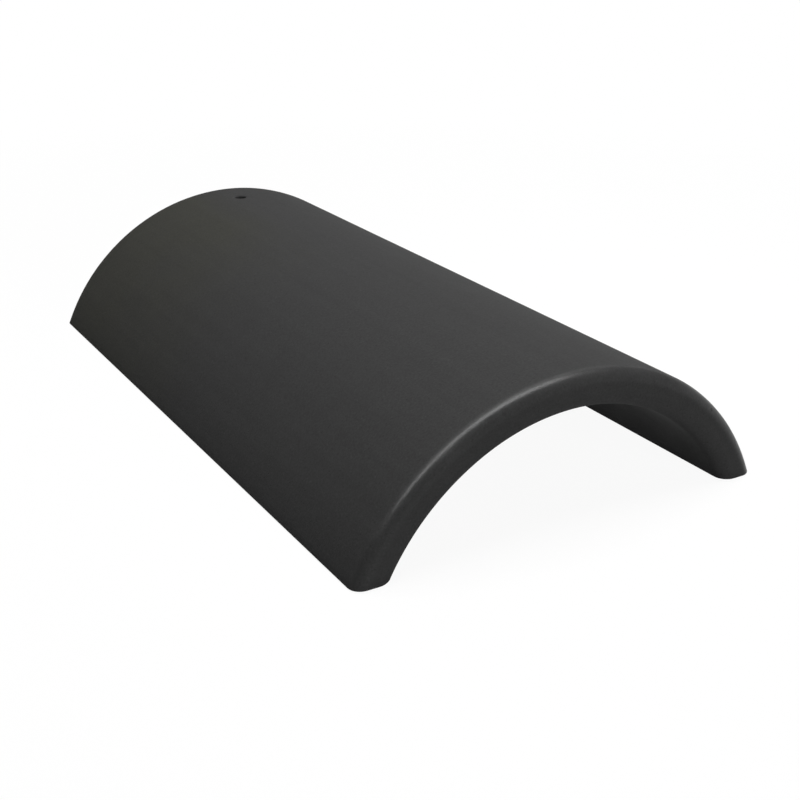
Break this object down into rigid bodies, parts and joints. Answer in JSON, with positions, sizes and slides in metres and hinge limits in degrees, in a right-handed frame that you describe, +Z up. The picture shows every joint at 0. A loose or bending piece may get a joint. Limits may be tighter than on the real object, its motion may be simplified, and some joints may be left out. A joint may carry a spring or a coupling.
{
  "type": "clay ridge tile",
  "caption": "Arched ridge tile of fired clay with a dark matt finish, a rounded nose at one end and a nail hole near the other.",
  "frame": {"origin": "middle of the footprint, on the surface that the two feet rest on", "axes": "+Y along the ridge from the rounded nose to the plain end with the nail hole, +Z up through the crown, +X across the tile"},
  "size_m": [0.247, 0.42, 0.083],
  "materials": {
    "dark_clay": "matt dark grey clay finish, smooth and lightly grained"
  },
  "bodies": {
    "root": {"ridge_tile": "dark_clay"}
  },
  "joints": []
}
